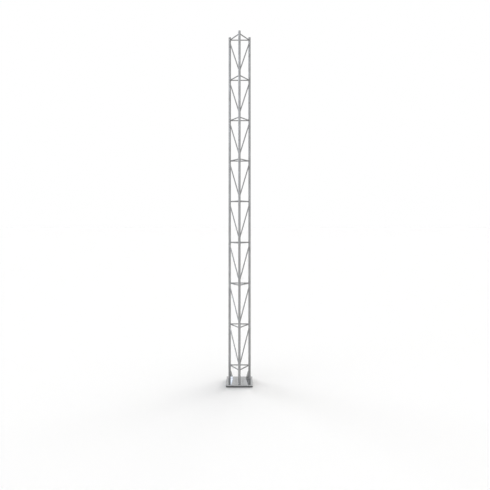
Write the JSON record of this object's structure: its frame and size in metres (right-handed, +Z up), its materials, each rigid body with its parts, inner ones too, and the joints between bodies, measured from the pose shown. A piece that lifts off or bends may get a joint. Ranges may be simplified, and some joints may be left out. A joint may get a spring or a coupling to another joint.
{
  "type": "lattice mast",
  "caption": "Slender triangular aluminium lattice mast with round legs, level ring bars, diagonals on the two front faces and a square base plate with gussets.",
  "frame": {"origin": "on the mast's centre line, at the underside of the base", "axes": "+Z up along the mast, +Y from the front leg towards the two rear legs, +X to the right seen from the front"},
  "size_m": [0.44, 0.4403, 5.902],
  "materials": {
    "leg_tube": "drawn tube, satin mill finish",
    "lattice_bar": "drawn tube, satin mill finish",
    "gusset_plate": "rolled sheet, satin",
    "plate": "rolled plate, bright and smooth",
    "pad": "matt black"
  },
  "bodies": {
    "root": {"base_pad": "pad", "base_plate": "plate", "leg_left": "leg_tube", "leg_right": "leg_tube", "leg_front": "leg_tube", "gusset_left": "gusset_plate", "gusset_right": "gusset_plate", "gusset_front": "gusset_plate", "ring_1": "lattice_bar", "ring_2": "lattice_bar", "ring_3": "lattice_bar", "ring_4": "lattice_bar", "ring_5": "lattice_bar", "ring_6": "lattice_bar", "ring_7": "lattice_bar", "ring_8": "lattice_bar", "ring_9": "lattice_bar", "diagonal_left_1": "lattice_bar", "diagonal_left_2": "lattice_bar", "diagonal_left_3": "lattice_bar", "diagonal_left_4": "lattice_bar", "diagonal_left_5": "lattice_bar", "diagonal_left_6": "lattice_bar", "diagonal_left_7": "lattice_bar", "diagonal_left_8": "lattice_bar", "diagonal_right_1": "lattice_bar", "diagonal_right_2": "lattice_bar", "diagonal_right_3": "lattice_bar", "diagonal_right_4": "lattice_bar", "diagonal_right_5": "lattice_bar", "diagonal_right_6": "lattice_bar", "diagonal_right_7": "lattice_bar", "diagonal_right_8": "lattice_bar"}
  },
  "joints": []
}
